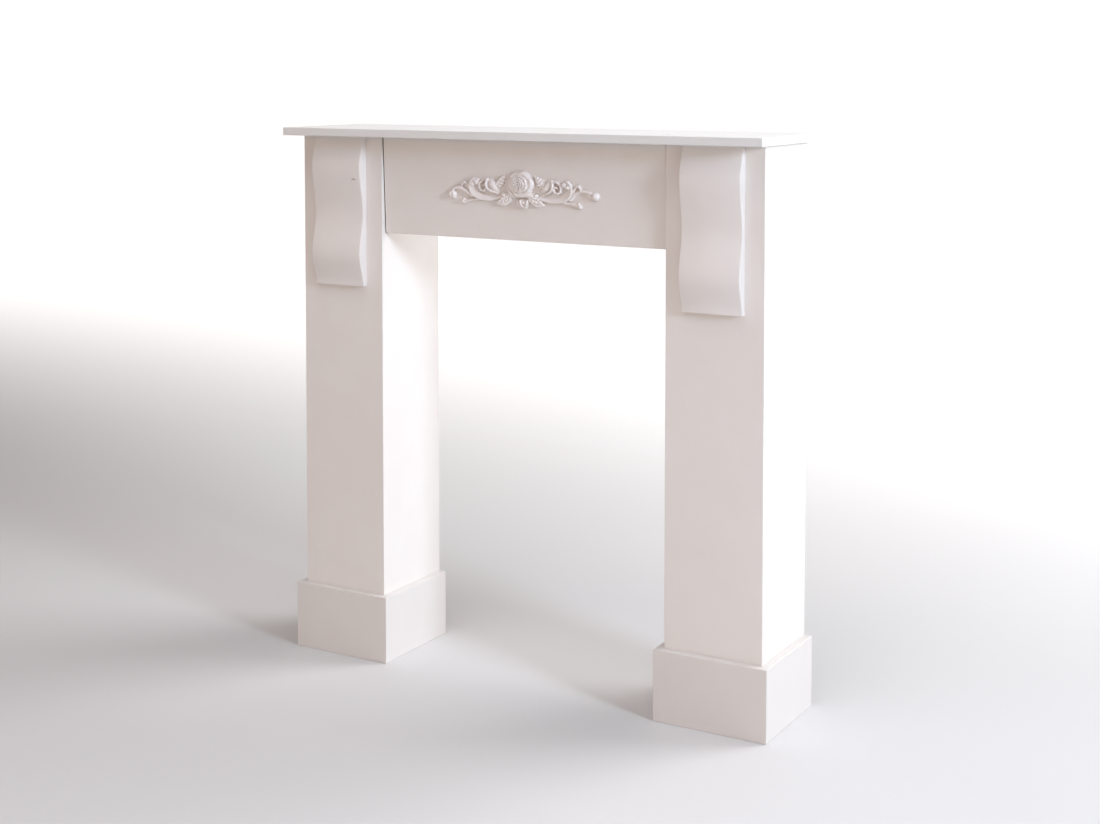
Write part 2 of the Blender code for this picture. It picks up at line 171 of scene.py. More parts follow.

# %% [markdown]
# ## Satin paint on board
#
# The boards are painted with a satin white emulsion. Close up such a coat is never one flat colour: it
# drifts a little from place to place, and it has the fine orange-peel of the roller and faint brush lines
# along the board. The recipe makes all of them from noise on Object coordinates, so that they keep their
# true size on every board. Only colour, roughness and the bump for the normal vary. The white is rosy on
# most boards. On the shelf it is painted darker and cooler, and on the plinths darker, as painted shade.

# %% Paint recipe
class Paint(Builder):
    """A material being mixed, with the place on the object and its parts as wires."""

    def __init__(self, name):
        self.material = bpy.data.materials.new(name)
        self.material.use_nodes = True
        super().__init__(self.material.node_tree)
        self.shader = self.tree.nodes["Principled BSDF"]
        self.place = self.node("ShaderNodeTexCoord", {}, {}, "Object")
        self.across = self.node("ShaderNodeSeparateXYZ", {}, {0: self.place}, "X")
        self.depth = self.node("ShaderNodeSeparateXYZ", {}, {0: self.place}, "Y")
        self.level = self.node("ShaderNodeSeparateXYZ", {}, {0: self.place}, "Z")

    def noise(self, scale, detail=2.0, roughness=0.5, stretch=(1, 1, 1)):
        """Grey noise from 0 to 1 with this many waves to the metre, drawn out along an axis by stretch."""
        place = self.node("ShaderNodeMapping", {}, {"Vector": self.place, "Scale": stretch})
        values = {"Vector": place, "Scale": scale, "Detail": detail, "Roughness": roughness}
        return self.node("ShaderNodeTexNoise", {}, values, "Fac")

    def mix(self, share, first, second):
        """One colour into another by a share."""
        first = first if isinstance(first, Wire) else (*first, 1)
        second = second if isinstance(second, Wire) else (*second, 1)
        inputs = {"Factor_Float": share, "A_Color": first, "B_Color": second}
        return self.node("ShaderNodeMix", {"data_type": "RGBA"}, inputs, "Result_Color")

    def finish(self, colour, roughness, height, depth_of_bump):
        """Connects what varies, and returns the material."""
        bump = self.node("ShaderNodeBump", {}, {"Height": height, "Distance": depth_of_bump})
        for key, value in (("Base Color", colour), ("Roughness", roughness), ("Normal", bump)):
            self.set_input(self.shader, key, value)
        return self.material


DRIFT_WAVES = 3.2
CLOUD_WAVES = 21
PEEL_WAVES = 620
DRIFT_SHARE = 0.7
DRIFT_RANGE = (0.3, 0.7)
PEEL_SHARE = 0.6
SATIN_ROUGHNESS = 0.42
DULLER_BY_DRIFT = 0.10
DULLER_BY_PEEL = 0.06


def satin_coat(paint, colour, shade, brush_lines):
    """The painted surface itself: colour, roughness and height of its texture, as three wires."""
    drift = paint.noise(DRIFT_WAVES, detail=3)
    cloud = paint.noise(CLOUD_WAVES)
    peel = paint.noise(PEEL_WAVES, detail=1)
    lines = paint.noise(1, stretch=brush_lines)
    patches = drift * DRIFT_SHARE + cloud * (1 - DRIFT_SHARE)
    tone = paint.mix(patches.between(*DRIFT_RANGE), colour, shade)
    roughness = SATIN_ROUGHNESS + DULLER_BY_DRIFT * drift + DULLER_BY_PEEL * peel
    return tone, roughness, peel * PEEL_SHARE + lines * (1 - PEEL_SHARE)


BOARD_WHITES = ((0.806, 0.760, 0.728), (0.782, 0.728, 0.690))
# The shelf's white is darker and cooler than the boards' white, and the plinths' white is darker: painted
# shade.
SHELF_SHADED_WHITES = ((0.745, 0.740, 0.735), (0.725, 0.712, 0.702))
PLINTH_SHADED_WHITES = ((0.730, 0.688, 0.660), (0.708, 0.660, 0.626))
print("white of the boards:", BOARD_WHITES[0], "shelf:", SHELF_SHADED_WHITES[0], "plinths:", PLINTH_SHADED_WHITES[0])

# %% [markdown]
# ## The boards
#
# The shelf, frieze, pilasters and plinths keep their solids, because flat boards with a small rounded
# arris are the right shape already. Their backs and the insides of the box pilasters never show in the
# room. Makers leave them with a thin primer through which the pressed board looks a little brown, and no
# brush reaches into the open joints at the frieze's ends. These joints are raw board, painted darker than
# raw board as painted shade deep in the joint. The masks read where a point is: inside a pilaster, in a
# joint, or on a face that looks at the wall.

# %% Places where the paint changes
front_low, front_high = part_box("left_pilaster_front")
PILASTER_CENTRE = -(front_low[0] + front_high[0]) / 2
CHANNEL_HALF = -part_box("left_pilaster_outer_side")[1][0] - PILASTER_CENTRE
OPENING_HALF = -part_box("left_pilaster_inner_side")[1][0]
SHELF_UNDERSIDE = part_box("mantel_shelf")[0][2]
FRONT_FACE = front_low[1]
FRONT_INNER_FACE = front_high[1]
FRIEZE_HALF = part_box("frieze_board")[1][0]
FRIEZE_HEIGHT = 0.180
FRIEZE_BOARD = 0.015
FRIEZE_LEAN = 0.0075
FRIEZE_RECESS_TOP = 0.003
SIDE_SLACK = 0.0004
FACE_SLACK = 0.0002
JOINT_SLACK = 0.0006
TURNED_TO_WALL = 0.5
PRIMER = (0.62, 0.565, 0.49)
PRIMER_THIN = (0.50, 0.42, 0.33)
PRIMER_FIBRES = (260, 260, 90)
PRIMER_RANGE = (0.35, 0.7)
PRIMER_DULLER = 0.3
# Raw board, made darker to stand for the shade deep in the frieze's joints: painted shade.
RAW_BOARD_AND_PAINTED_SHADE = (0.20, 0.14, 0.11)
BOARD_BUMP = 0.00007
print("joints at the frieze's ends:", round((OPENING_HALF - FRIEZE_HALF) * 1000, 1), "mm wide")


# %% Board paint
def in_frieze_joint(paint):
    """1 on the faces in the open joints at the frieze's ends, and 0 elsewhere."""
    recess = FRIEZE_RECESS_TOP + FRIEZE_LEAN / FRIEZE_HEIGHT * (SHELF_UNDERSIDE - paint.level)
    past_face = paint.depth - (recess + FRONT_FACE)
    beside_board = (past_face > JOINT_SLACK) * (past_face < FRIEZE_BOARD)
    off_middle = paint.across.distance_to(0)
    at_end = (off_middle > FRIEZE_HALF - FACE_SLACK) * (off_middle < OPENING_HALF + FACE_SLACK)
    return at_end * beside_board * (paint.level > SHELF_UNDERSIDE - FRIEZE_HEIGHT)


def board_paint(name, whites, brush_lines):
    """Satin white in front, thin primer behind and inside, and in the frieze's joints raw board darkened as
    painted shade.
    """
    paint = Paint(name)
    colour, roughness, height = satin_coat(paint, *whites, brush_lines)
    facing = paint.node("ShaderNodeNewGeometry", {}, {}, "Normal")
    to_wall = paint.node("ShaderNodeSeparateXYZ", {}, {0: facing}, "Y") > TURNED_TO_WALL
    off_centre = paint.across.distance_to(0).distance_to(PILASTER_CENTRE)
    under_shelf = paint.level < SHELF_UNDERSIDE - FACE_SLACK
    in_channel = (off_centre < CHANNEL_HALF + SIDE_SLACK) * under_shelf
    behind_front = paint.depth > FRONT_INNER_FACE - FACE_SLACK
    hidden = (to_wall + in_channel * behind_front).held()
    fibre = paint.noise(1, detail=4, roughness=0.7, stretch=PRIMER_FIBRES)
    primer = paint.mix(fibre.between(*PRIMER_RANGE), PRIMER, PRIMER_THIN)
    # In the frieze's joints the colour is raw board with painted shade.
    colour = paint.mix(in_frieze_joint(paint), paint.mix(hidden, colour, primer), RAW_BOARD_AND_PAINTED_SHADE)
    return paint.finish(colour, roughness + hidden * PRIMER_DULLER, height + hidden * fibre, BOARD_BUMP)


print("the primer is", PRIMER_DULLER, "rougher than the white")

# %% Painting the boards
UPRIGHT_LINES = (420, 420, 9)
LEVEL_LINES = (9, 420, 420)
board_paints = {
    "shelf": board_paint("satin_paint_shelf", SHELF_SHADED_WHITES, LEVEL_LINES),
    "frieze": board_paint("satin_paint_frieze", BOARD_WHITES, LEVEL_LINES),
    "pilaster": board_paint("satin_paint_pilaster", BOARD_WHITES, UPRIGHT_LINES),
    "plinth": board_paint("satin_paint_plinth", PLINTH_SHADED_WHITES, UPRIGHT_LINES),
}
for name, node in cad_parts.items():
    for kind_of_board, paint_of_board in board_paints.items():
        if kind_of_board in name:
            for material_slot in node.material_slots:
                material_slot.material = paint_of_board
            print(name, "painted with", paint_of_board.name)

# %% [markdown]
# ## The corbels
#
# A corbel here is a block with an S-curved front: a shoulder under the shelf, an upper swell, a waist, a
# lower swell and a foot. A joiner would saw it from a side template, and Geometry Nodes can do the same:
# a line is bent into the template's outline by a rule, filled, and pulled out to the corbel's width. The
# rule is a sum of soft steps, one for each stretch between two stations. The tree's inputs are the sizes
# of the real piece.

# %% Corbel sizes
CORBEL_STATIONS = (
    ("Shoulder", 0.00, 0.0095),
    ("Upper Swell", 0.20, 0.0215),
    ("Waist", 0.51, 0.011),
    ("Lower Swell", 0.79, 0.022),
    ("Foot", 1.00, 0.0105),
)
CORBEL_ROWS = 140
HALF_STEP = 0.5
CORBEL_ARRIS = 0.0025
FOOT_ARRIS_SHARE = 0.48
BEVEL_WEIGHTS = "bevel_weight_edge"
NO_GAP = 0.00001
OFF_THE_BACK = 0.001
left_low, left_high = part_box("left_corbel")
CORBEL_WIDTH = left_high[0] - left_low[0]
CORBEL_HEIGHT = left_high[2] - left_low[2]
CORBEL_BACK = left_high[1]
print("corbel:", round(CORBEL_WIDTH, 4), "wide", round(CORBEL_HEIGHT, 4), "high")


# %% Template's outline
def soft_step(share, start, end):
    """0 above a stretch, 1 below it, and half a cosine wave between."""
    turn = ((share - start) / (end - start)).held() * math.pi
    return 0.5 - 0.5 * turn.cosine()


def template_side(builder, given):
    """The template as one filled face. The line's first and last points make its straight back."""
    rows = given["Rows"]
    line = builder.node("GeometryNodeCurvePrimitiveLine", {}, {"End": (0, -1, 0)})
    line = builder.node("GeometryNodeResampleCurve", {"mode": "COUNT"}, {"Curve": line, "Count": rows + 2})
    index = builder.node("GeometryNodeInputIndex", {}, {})
    share = ((index - 1) / (rows - 1)).held()
    reach = given[CORBEL_STATIONS[0][0]]
    for (above, start, _), (below, end, _) in zip(CORBEL_STATIONS, CORBEL_STATIONS[1:]):
        reach = reach + (given[below] - given[above]) * soft_step(share, start, end)
    on_front = (index > HALF_STEP) * (index < rows + HALF_STEP)
    down = share * given["Height"]
    outline = builder.node("ShaderNodeCombineXYZ", {}, {"X": reach * on_front, "Y": down * -1})
    line = builder.node("GeometryNodeSetPosition", {}, {"Geometry": line, "Position": outline})
    line = builder.node("GeometryNodeSetSplineCyclic", {}, {"Geometry": line, "Cyclic": True})
    return builder.node("GeometryNodeFillCurve", {"mode": "NGONS"}, {"Curve": line})


print("the template has", CORBEL_ROWS, "points down its front")


# %% Corbel tree
def new_tree(name, inputs):
    """An empty Geometry Nodes tree with named inputs, its builder and its inputs as wires."""
    tree = bpy.data.node_groups.new(name, "GeometryNodeTree")
    for title, kind in inputs:
        tree.interface.new_socket(title, in_out="INPUT", socket_type=kind)
    tree.interface.new_socket("Geometry", in_out="OUTPUT", socket_type="NodeSocketGeometry")
    builder = Builder(tree)
    entry = tree.nodes.new("NodeGroupInput")
    wires = {title: Wire(builder, entry.outputs[title]) for title, _ in inputs}
    return tree, builder, wires


def pulled_out(builder, side, width):
    """A closed block, made by pulling a face out to a width."""
    straight_up = builder.node("ShaderNodeCombineXYZ", {}, {"Z": 1.0})
    pull = {"Mesh": side, "Offset": straight_up, "Offset Scale": width}
    block = builder.node("GeometryNodeExtrudeMesh", {"mode": "FACES"}, pull)
    under_side = builder.node("GeometryNodeFlipFaces", {}, {"Mesh": side})
    whole = builder.node("GeometryNodeJoinGeometry", {}, {})
    for part in (block, under_side):
        builder.tree.links.new(part.socket, whole.socket.node.inputs[0])
    return builder.node("GeometryNodeMergeByDistance", {}, {"Geometry": whole, "Distance": NO_GAP})


def arris_weight(builder, height):
    """How far an edge is rounded: fully down the front, about half at the foot, not at the back or top."""
    place = builder.node("GeometryNodeInputPosition", {}, {})
    out = builder.node("ShaderNodeSeparateXYZ", {}, {0: place}, "X")
    up = builder.node("ShaderNodeSeparateXYZ", {}, {0: place}, "Y")
    at_foot = up < height * -1 + NO_GAP
    return (out > OFF_THE_BACK) * (up < -NO_GAP) * (1 - at_foot * (1 - FOOT_ARRIS_SHARE))


def corbel_tree():
    """A corbel lying on its side: x is how far it stands off, y is up from its top and z is across."""
    sizes = [(title, "NodeSocketFloat") for title, _, _ in CORBEL_STATIONS]
    sizes += [("Width", "NodeSocketFloat"), ("Height", "NodeSocketFloat")]
    sizes += [("Rows", "NodeSocketInt"), ("Paint", "NodeSocketMaterial")]
    tree, builder, given = new_tree("corbel_from_template", sizes)
    whole = pulled_out(builder, template_side(builder, given), given["Width"])
    weight = arris_weight(builder, given["Height"])
    kind = {"data_type": "FLOAT", "domain": "EDGE"}
    weighted = {"Geometry": whole, "Name": BEVEL_WEIGHTS, "Value": weight}
    whole = builder.node("GeometryNodeStoreNamedAttribute", kind, weighted)
    whole = builder.node("GeometryNodeRealizeInstances", {}, {"Geometry": whole})
    whole = builder.node("GeometryNodeSetMaterial", {}, {"Geometry": whole, "Material": given["Paint"]})
    leave = tree.nodes.new("NodeGroupOutput")
    tree.links.new(whole.socket, leave.inputs[0])
    return tree


corbel_template = corbel_tree()
print("corbel tree:", len(corbel_template.nodes), "nodes")

# %% [markdown]
# ## Applying a tree
#
# A modifier holds the tree. Its inputs are set by each socket's identifier before anything is evaluated.
# The evaluated object then becomes a plain mesh, with real faces and no modifier.

# %% From tree to mesh
SMOOTH_BELOW = math.radians(32)
ARRIS_STEPS = 5


def shaped_by(tree, name, sizes, extra=None):
    """A new object with a plain mesh, made by a tree with these inputs and perhaps one more modifier."""
    blank = bpy.data.objects.new(name + "_blank", bpy.data.meshes.new(name + "_blank"))
    bpy.context.scene.collection.objects.link(blank)
    modifier = blank.modifiers.new("tree", "NODES")
    modifier.node_group = tree
    for item in tree.interface.items_tree:
        if item.in_out == "INPUT" and item.name in sizes:
            modifier[item.identifier] = sizes[item.name]
    if extra:
        extra(blank)
    graph = bpy.context.evaluated_depsgraph_get()
    mesh = bpy.data.meshes.new_from_object(blank.evaluated_get(graph), depsgraph=graph)
    bpy.data.objects.remove(blank)
    piece = bpy.data.objects.new(name, mesh)
    bpy.context.scene.collection.objects.link(piece)
    return piece


def round_the_edges(blank):
    """A bevel where the tree has given the edges a weight."""
    bevel = blank.modifiers.new("arris", "BEVEL")
    bevel.limit_method = "WEIGHT"
    bevel.width = CORBEL_ARRIS
    bevel.segments = ARRIS_STEPS


print("faces that meet at less than", round(math.degrees(SMOOTH_BELOW)), "degrees are smooth")

# %% [markdown]
# ## Paint on the corbels
#
# The corbels have the same white, a touch cooler, and the brush went up and down the curve. The left one
# has a small nick like a low arch in its face, where something hard caught it. A dark mark in the paint
# would do from afar, but a real dent also catches the light, so it is cut with a bent tool. The bare wood
# in it has darkened.

# %% Corbel paint and bare wood
CORBEL_WHITES = ((0.812, 0.774, 0.750), (0.784, 0.736, 0.706))
CORBEL_LINES = (420, 420, 12)
COAT_BUMP = 0.00008
BARE_WOOD_DARK = (0.23, 0.16, 0.12)
BARE_WOOD_LIGHT = (0.36, 0.27, 0.21)
WOOD_GRAIN = (900, 900, 200)
WOOD_ROUGHNESS = 0.7
WOOD_DULLER = 0.15
GRAIN_BUMP = 0.0001

corbel_mix = Paint("satin_paint_corbel")
corbel_coat = satin_coat(corbel_mix, *CORBEL_WHITES, CORBEL_LINES)
corbel_paint = corbel_mix.finish(*corbel_coat, COAT_BUMP)

wood_mix = Paint("bare_wood_in_nick")
grain = wood_mix.noise(1, detail=4, roughness=0.7, stretch=WOOD_GRAIN)
wood_tone = wood_mix.mix(grain, BARE_WOOD_DARK, BARE_WOOD_LIGHT)
bare_wood = wood_mix.finish(wood_tone, WOOD_ROUGHNESS + WOOD_DULLER * grain, grain, GRAIN_BUMP)
print("mixed:", corbel_paint.name, "and", bare_wood.name)

# %% The nick's tool
NICK_TOP = (-0.3425, 0.9055)
NICK_RADIUS = 0.0066
NICK_HALF_SWEEP = math.radians(46)
NICK_DEPTH = 0.0009
NICK_END_SHARE = 0.3
NICK_STEPS = 21
NICK_SIDES = 8
nick_width = 2 * NICK_RADIUS * math.sin(NICK_HALF_SWEEP)
print("nick:", round(nick_width * 1000, 1), "mm wide,", NICK_DEPTH * 1000, "mm deep")


def nick_tool(corbel_face):
    """A thin round bar, bent like a low arch, that lies half sunk in the corbel's face."""
    tool = bmesh.new()
    rings = []
    for share in np.linspace(-1, 1, NICK_STEPS):
        lean = share * NICK_HALF_SWEEP
        fullness = math.cos(share * math.pi / 2)
        thickness = NICK_DEPTH * (NICK_END_SHARE + (1 - NICK_END_SHARE) * fullness)
        out, up = math.sin(lean), math.cos(lean)
        start = (NICK_TOP[0] + NICK_RADIUS * out, -1, NICK_TOP[1] - NICK_RADIUS * (1 - up))
        on_face = corbel_face.ray_cast(Vector(start), Vector((0, 1, 0)))[0]
        ring = []
        for around in np.linspace(0, 2 * math.pi, NICK_SIDES, endpoint=False):
            rise = thickness * math.cos(around)
            step = Vector((rise * out, thickness * math.sin(around), rise * up))
            ring.append(tool.verts.new(on_face + step))
        rings.append(ring)
    for here, after in zip(rings, rings[1:]):
        for place in range(NICK_SIDES):
            following = (place + 1) % NICK_SIDES
            tool.faces.new((here[place], here[following], after[following], after[place]))
    tool.faces.new(rings[0][::-1])
    tool.faces.new(rings[-1])
    bmesh.ops.recalc_face_normals(tool, faces=tool.faces[:])
    mesh = bpy.data.meshes.new("nick_tool")
    tool.to_mesh(mesh)
    tool.free()
    mesh.materials.append(bare_wood)
    piece = bpy.data.objects.new("nick_tool", mesh)
    bpy.context.scene.collection.objects.link(piece)
    return piece


# %% Corbel pieces
# The template's out, up and across become the front's -Y, Z and -X.
STAND_UP = ((0, 0, -1, 0), (-1, 0, 0, 0), (0, 1, 0, 0), (0, 0, 0, 1))
NICK_FRAME = (-0.009, -0.0058, 0.0058, 0.009)


def make_corbel(name, centre):
    """One corbel, stood up, bevelled and set against its pilaster under the shelf."""
    sizes = {title: size for title, _, size in CORBEL_STATIONS}
    sizes |= {"Width": CORBEL_WIDTH, "Height": CORBEL_HEIGHT, "Rows": CORBEL_ROWS, "Paint": corbel_paint}
    piece = shaped_by(corbel_template, name, sizes, round_the_edges)
    stand = Matrix(STAND_UP)
    stand.translation = (centre + CORBEL_WIDTH / 2, CORBEL_BACK, left_high[2])
    piece.data.transform(stand)
    return piece


def split_at(mesh, places):
    """Cuts a mesh's faces along upright planes at these X, so that the faces round the nick are small."""
    shape = bmesh.new()
    shape.from_mesh(mesh)
    for x in places:
        everything = shape.verts[:] + shape.edges[:] + shape.faces[:]
        bmesh.ops.bisect_plane(shape, geom=everything, plane_co=(x, 0, 0), plane_no=(1, 0, 0))
    shape.to_mesh(mesh)
    shape.free()


def cut_by(piece, tool):
    """Cuts a tool out of a piece and keeps the tool's material in the hole."""
    cut = piece.modifiers.new("cut", "BOOLEAN")
    cut.object = tool
    cut.material_mode = "TRANSFER"
    graph = bpy.context.evaluated_depsgraph_get()
    mesh = bpy.data.meshes.new_from_object(piece.evaluated_get(graph), depsgraph=graph)
    piece.modifiers.clear()
    piece.data = mesh
    bpy.data.objects.remove(tool)


for side, node in ((-1, "left_corbel"), (1, "right_corbel")):
    corbel = make_corbel(f"shaped_{node}", side * PILASTER_CENTRE)
    if side < 0:
        split_at(corbel.data, [NICK_TOP[0] + away for away in NICK_FRAME])
        corners = [vertex.co for vertex in corbel.data.vertices]
        face = BVHTree.FromPolygons(corners, [polygon.vertices for polygon in corbel.data.polygons])
        cut_by(corbel, nick_tool(face))
    corbel.data.shade_smooth()
    corbel.data.set_sharp_from_angle(angle=SMOOTH_BELOW)
    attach(corbel, "root")
    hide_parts(node)
    print(corbel.name, len(corbel.data.polygons), "faces", [round(x, 4) for x in corbel.bound_box[0]])

# %% [markdown]
# ## The cast rose ornament
#
# The ornament is one flat-backed casting in low relief: a rose over a rolled petal and a hanging bud, with
# leaves, a scroll and a thin branch to each side. It could be sculpted by hand, or put together from many
# small meshes, but a low relief is easier to describe as a height over a sheet of paper, and it stays one
# closed piece. Each form is a small rule for height, u runs right and v runs up, in millimetres from the
# middle, and where forms overlap the highest one shows, as in real carving.

# %% Sheet and rounded lumps
DRAWN_WIDTH = 311
SHEET_MARGIN = 8
SHEET_LOW = -42
SHEET_HIGH = 46
RELIEF_PITCH = 0.62
GROUND = -3.0
NEAR_GROUND = 0.05


def turned(u, v, centre, turn):
    """The sheet's points as seen from a centre, with the first axis turned by degrees."""
    angle = math.radians(turn)
    du = u - centre[0]
    dv = v - centre[1]
    return du * math.cos(angle) + dv * math.sin(angle), dv * math.cos(angle) - du * math.sin(angle)


def oval(u, v, centre, radii, turn, height, edge=3):
    """A rounded lump, highest in its middle, which falls through the ground at its rim."""
    along, across = turned(u, v, centre, turn)
    out = np.hypot(along / radii[0], across / radii[1])
    return height * (1 - out**edge)


print("sheet:", DRAWN_WIDTH, "mm wide, a point every", RELIEF_PITCH, "mm")

# %% [markdown]
# Stems, scrolls and rolled edges are ribbons along a smooth curve. Every point of the sheet looks for the
# nearest stretch of the curve and rises with its nearness.

# %% Smooth path
def smooth_path(points, steps=10):
    """Points along a smooth curve through the ones given."""
    given = [np.array(point, float) for point in points]
    padded = [2 * given[0] - given[1], *given, 2 * given[-1] - given[-2]]
    path = []
    for before, start, end, after in zip(padded, padded[1:], padded[2:], padded[3:]):
        for step in range(steps):
            t = step / steps
            path.append(
                0.5
                * (
                    2 * start
                    + (end - before) * t
                    + (2 * before - 5 * start + 4 * end - after) * t**2
                    + (3 * start - before - 3 * end + after) * t**3
                )
            )
    return [*path, given[-1]]


print("a curve through three places has", len(smooth_path([(0, 0), (5, 3), (10, 0)])), "points")


# %% Ribbon
CHANNEL_FROM = 0.35
CHANNEL_SPAN = 0.85
CHANNEL_CURVE = 0.8


def strand(u, v, points, widths, heights, hollow=0.0, edge=3):
    """A ribbon along a smooth curve. Its width and height change evenly from each value to the next, and
    a hollow one falls away to the left of its path, as a scroll's channel does."""
    path = smooth_path(points)
    shares = np.linspace(0, 1, len(path))
    marks = np.linspace(0, 1, len(widths))
    half = np.interp(shares, marks, widths) / 2
    level = np.interp(shares, np.linspace(0, 1, len(heights)), heights)
    field = np.full(u.shape, GROUND)
    nearest = np.full(u.shape, np.inf)
    for here in range(len(path) - 1):
        run = path[here + 1] - path[here]
        du = u - path[here][0]
        dv = v - path[here][1]
        share = np.clip((du * run[0] + dv * run[1]) / run.dot(run), 0, 1)
        distance = np.hypot(du - share * run[0], dv - share * run[1])
        side = np.sign(run[0] * dv - run[1] * du)
        width_here = half[here] + (half[here + 1] - half[here]) * share
        level_here = level[here] + (level[here + 1] - level[here]) * share
        out = distance / width_here
        into_channel = np.clip((CHANNEL_FROM + side * out / 2) / CHANNEL_SPAN, 0, 1)
        slope = 1 - hollow * into_channel**CHANNEL_CURVE
        closer = out < nearest
        nearest = np.where(closer, out, nearest)
        field = np.where(closer, level_here * slope * (1 - out**edge), field)
    return field


on_ribbon = strand(np.zeros(1), np.zeros(1), [(-5, 0), (5, 0)], [4, 4], [6, 6])
print("a ribbon 6 mm high is", round(float(on_ribbon[0]), 1), "mm high on its path")

# %% [markdown]
# A leaf has a sunk midrib and veins that notch its edge. A rose petal is a piece of a curved wall round
# the flower's heart: it slopes down inwards and rolls over outwards.

# %% Leaf
LEAF_SKEW = 0.8
LEAF_BLUNTNESS = 0.7
LEAF_STALK = 0.02
VEIN_SLANT = 1.2
VEIN_NOTCH = 0.12
VEIN_RISE = 4
MIDRIB_WIDTH = 1.3


def leaf(u, v, base, tip, width, height, veins, depth=0.9):
    """A pointed leaf with a sunk midrib and slanting veins that notch its edge."""
    run = np.array(tip, float) - base
    length = math.hypot(*run)
    along, across = turned(u, v, base, math.degrees(math.atan2(run[1], run[0])))
    share = np.clip(along / length, 0.0, 1.0)
    side = np.abs(across)
    vein = np.cos(2 * math.pi * (veins * share - side / width * VEIN_SLANT))
    swell = np.sin(math.pi * share**LEAF_SKEW) ** LEAF_BLUNTNESS + LEAF_STALK
    half = width / 2 * swell * (1 + VEIN_NOTCH * vein)
    beyond = np.maximum(np.maximum(-along, along - length), 0)
    out = (side + beyond) / half
    body = height * (1 - out**3) + depth * vein * np.clip(side / width * VEIN_RISE, 0, 1)
    return body - depth * np.exp(-((side / MIDRIB_WIDTH) ** 2))


across_leaf = leaf(np.full(3, 10.0), np.array([0.0, 2.0, 4.0]), (0, 0), (20, 0), 10, 6, 5)
print("a leaf 6 mm high from its midrib to its edge:", across_leaf.round(1), "mm")

# %% Rose petal
PETAL_SWEEP = 0.08
PETAL_ROUNDING = 0.2
PETAL_TILT = 0.05
PETAL_SIDE_DROP = 16


def rose_petal(u, v, centre, reach, turn, span, height, crest, dip, fall):
    """One petal of a rose, a curved wall about the flower's centre. It is highest at its crest, a share of
    its reach. From there it slopes down towards the heart by the dip and rolls over outwards by the fall."""
    du = u - centre[0]
    dv = v - centre[1]
    angle = np.degrees(np.arctan2(dv, du)) - turn
    across = ((angle + 180) % 360 - 180) / span
    one_sided = np.clip(across, -1, 1)
    rim = 1 + PETAL_SWEEP * one_sided - PETAL_ROUNDING * np.clip(np.abs(across), 0, 1.2) ** 3
    out = np.hypot(du / reach[0], dv / reach[1]) / rim
    inwards = np.clip((crest - out) / crest, 0, 1)
    outwards = np.maximum(out - crest, 0) / (1 - crest)
    level = height * (1 + PETAL_TILT * one_sided - dip * inwards - fall * outwards**2)
    return level - PETAL_SIDE_DROP * np.maximum(np.abs(across) - 1, 0)


across_petal = rose_petal(np.array([2.0, 8.0, 10.0]), np.zeros(3), (0, 0), (10, 10), 0, 45, 9, 0.8, 0.9, 0.6)
print("a petal 9 mm high from its heart to its rim:", across_petal.round(1), "mm")

# %% [markdown]
# The flower is five rings of petals, each ring narrower and higher than the one before. The sprays are the
# same list of forms on both sides, mirrored, except for the buds at their ends, which differ on the real
# casting too.

# %% Rose
def rose(u, v):
    """The open rose: broad outer petals rolled back, a cup of five, and a bud wound ever tighter."""
    centre = (1.0, 12.0)
    rings = (
        ((27.5, 23.0), 6, 115, 44, 8.6, 0.80, 0.9, 0.62),
        ((17.5, 15.5), 5, 30, 46, 11.4, 0.88, 0.9, 0.35),
        ((12.0, 11.0), 4, 65, 56, 12.8, 0.86, 0.8, 0.3),
        ((7.6, 7.2), 3, 10, 72, 13.8, 0.82, 0.7, 0.3),
        ((4.0, 3.8), 2, 110, 105, 14.4, 0.75, 0.5, 0.3),
    )
    forms = []
    for reach, count, first, span, height, crest, dip, fall in rings:
        for index in range(count):
            turn = first + 360 / count * index
            forms.append(rose_petal(u, v, centre, reach, turn, span, height, crest, dip, fall))
    return np.maximum.reduce(forms)


heart = rose(np.array([1.0]), np.array([12.0]))
print("the rose's heart stands", round(float(heart[0]), 1), "mm above the casting's flat back")


